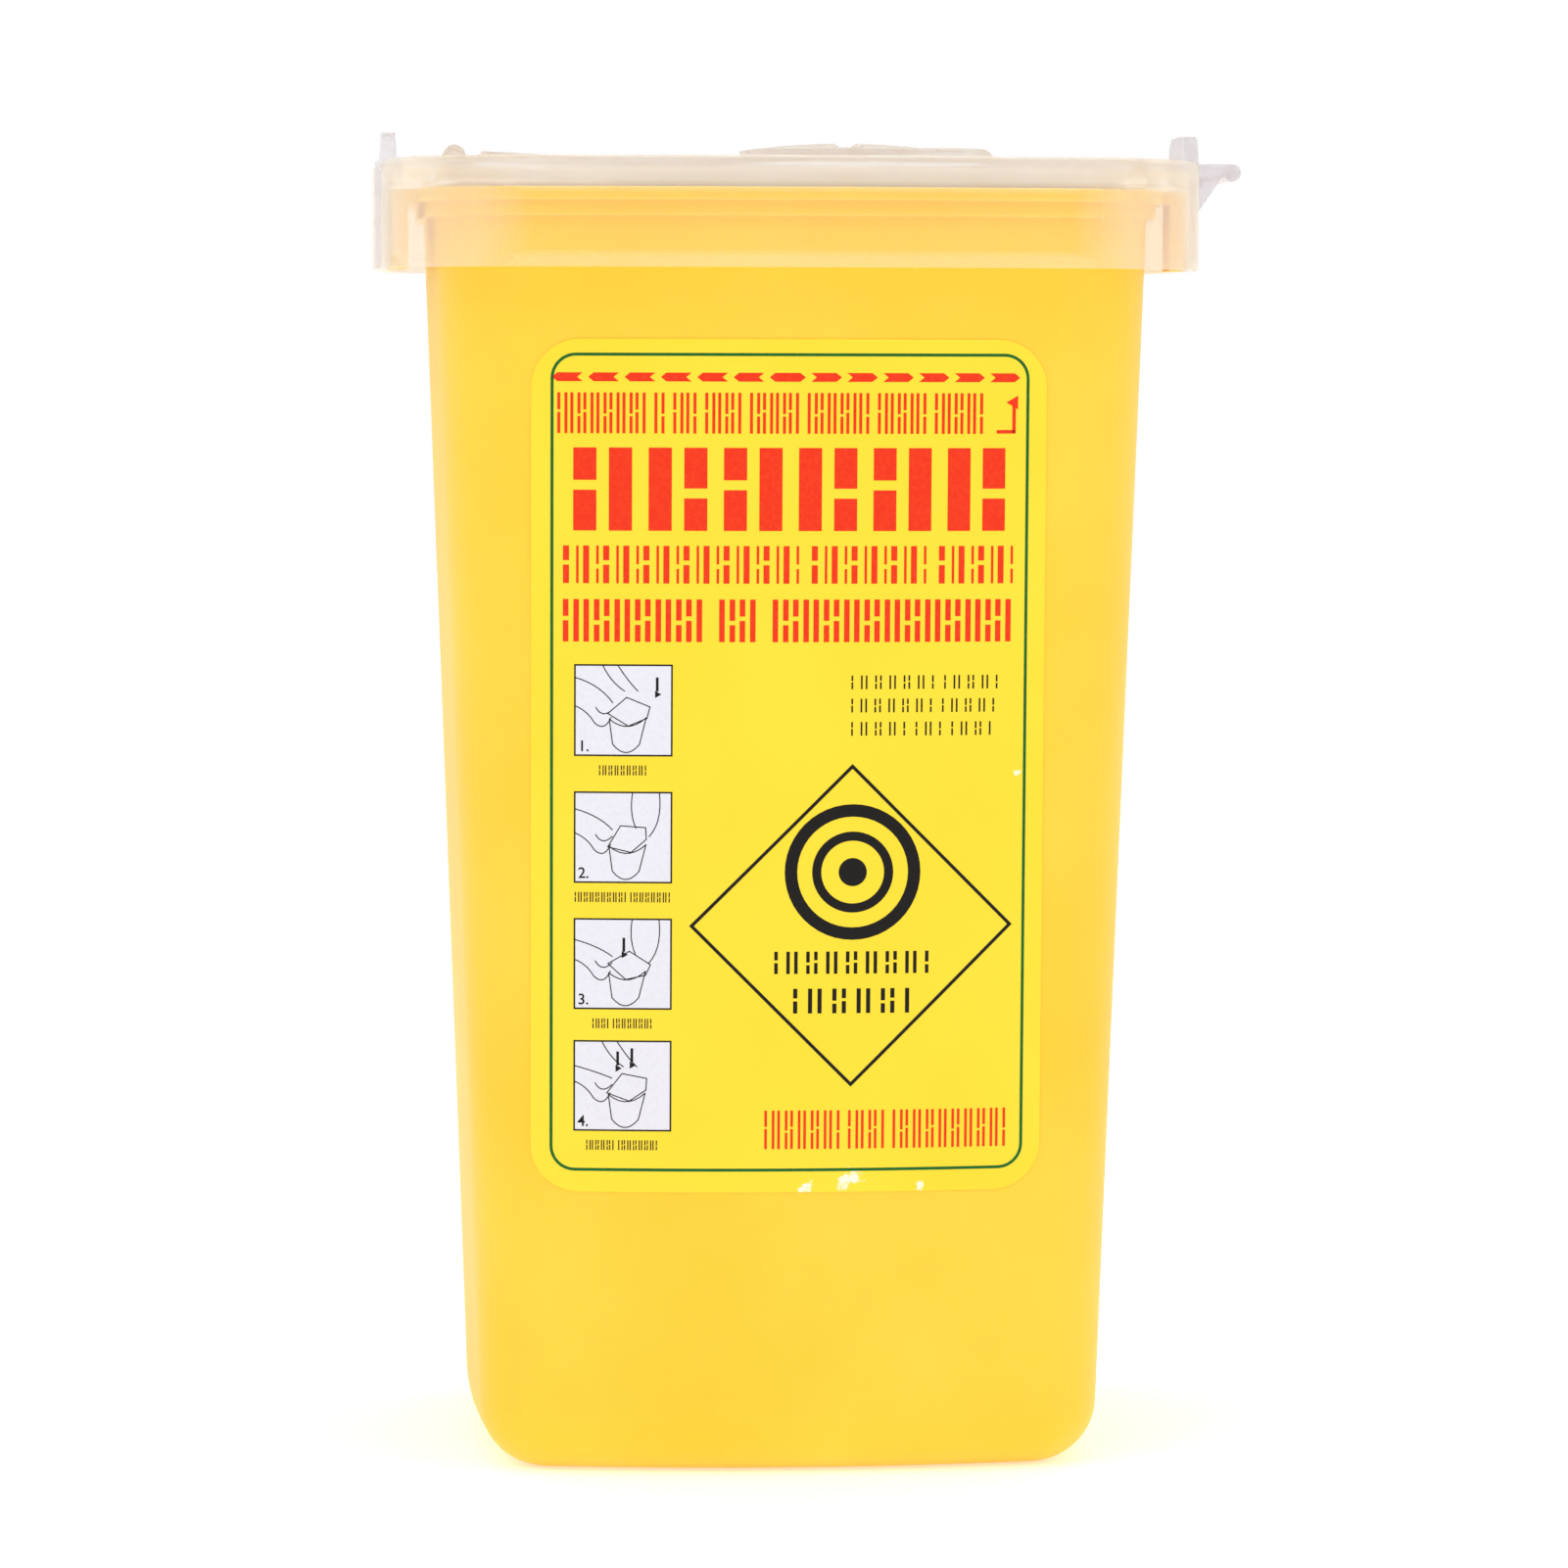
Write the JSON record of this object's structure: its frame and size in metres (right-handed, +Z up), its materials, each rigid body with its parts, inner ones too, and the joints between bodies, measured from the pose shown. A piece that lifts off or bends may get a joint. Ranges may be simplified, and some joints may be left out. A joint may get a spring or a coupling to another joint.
{
  "type": "sharps container",
  "caption": "Small tapered yellow sharps bin with a translucent clip-on lid, a hinged flap with a side finger tab, two squeeze clips and a printed front label.",
  "frame": {"origin": "centre of the flat underside of the bin, where it stands", "axes": "+Z up; +X towards the side with the flap's finger tab; -Y towards the label"},
  "size_m": [0.111, 0.0994, 0.167],
  "materials": {
    "bin_plastic": "satin moulded polypropylene, slightly translucent",
    "lid_plastic": "frosted translucent polypropylene",
    "flap_plastic": "frosted translucent polypropylene",
    "label_film": "printed gloss film"
  },
  "bodies": {
    "base": {"bin": "bin_plastic", "label": "label_film"},
    "lid": {"lid": "lid_plastic"},
    "flap": {"flap": "flap_plastic"},
    "clip_left": {"clip_left": "lid_plastic"},
    "clip_right": {"clip_right": "lid_plastic"}
  },
  "joints": [
    {"name": "lid_lift", "type": "slide", "parent": "base", "child": "lid", "axis": [0, 0, 1], "range_m": [0, 0.03]},
    {"name": "flap_hinge", "type": "hinge", "parent": "lid", "child": "flap", "pos_m": [-0.04199, 0, 0.1641], "axis": [0, -1, 0], "range_deg": [0, 140]},
    {"name": "clip_left_pinch", "type": "hinge", "parent": "lid", "child": "clip_left", "pos_m": [-0.0502, -0.018, 0.162], "axis": [0, 1, 0], "range_deg": [0, 7], "stiffness_Nm_per_rad": 0.06},
    {"name": "clip_right_pinch", "type": "hinge", "parent": "lid", "child": "clip_right", "pos_m": [0.0502, -0.018, 0.162], "axis": [0, -1, 0], "range_deg": [0, 7], "stiffness_Nm_per_rad": 0.06}
  ]
}
